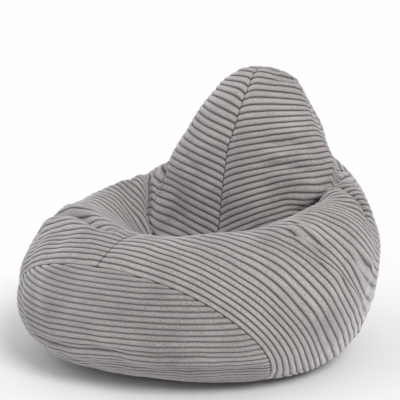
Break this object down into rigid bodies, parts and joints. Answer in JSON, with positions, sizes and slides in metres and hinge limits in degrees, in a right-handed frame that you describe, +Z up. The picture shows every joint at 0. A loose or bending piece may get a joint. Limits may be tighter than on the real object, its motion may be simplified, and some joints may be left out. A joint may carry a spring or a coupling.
{
  "type": "bean bag chair",
  "caption": "Teardrop bean bag chair in cord fabric: sewn gores rising to a leaning back, a seat hollow between soft arms, a round base with a concealed zip, and a bead-filled lining.",
  "frame": {"origin": "on the floor under the middle of the bag's width, on the vertical axis about which the zip curves", "axes": "+Z up, the chair faces -Y, +X is to the right of someone who looks at its front"},
  "size_m": [0.874, 0.9173, 0.689],
  "materials": {
    "cord_fabric": "warm grey jumbo cord with a soft velvety pile",
    "zip_tape": "woven polyester zip tape in grey",
    "zip_plastic": "moulded zip teeth in grey",
    "slider_metal": "grey painted die-cast slider",
    "lining_cloth": "plain off-white spunbond lining",
    "foam_beads": "white expanded foam beads, as one packed mass"
  },
  "bodies": {
    "bag": {"front_left_panel": "cord_fabric", "front_right_panel": "cord_fabric", "back_left_panel": "cord_fabric", "back_right_panel": "cord_fabric", "base_front_panel": "cord_fabric", "base_rear_panel": "cord_fabric", "zip_tape_upper": "zip_tape", "zip_tape_lower": "zip_tape", "zip_teeth_upper": "zip_plastic", "zip_teeth_lower": "zip_plastic", "zip_end_stops": "zip_plastic", "lining_left": "lining_cloth", "lining_right": "lining_cloth", "bead_fill": "foam_beads"},
    "slider": {"zip_slider": "slider_metal"}
  },
  "joints": [
    {"name": "zip_slider_travel", "type": "hinge", "parent": "bag", "child": "slider", "pos_m": [0, 0, 0.07], "axis": [0, 0, 1], "range_deg": [0, 75.9]}
  ]
}
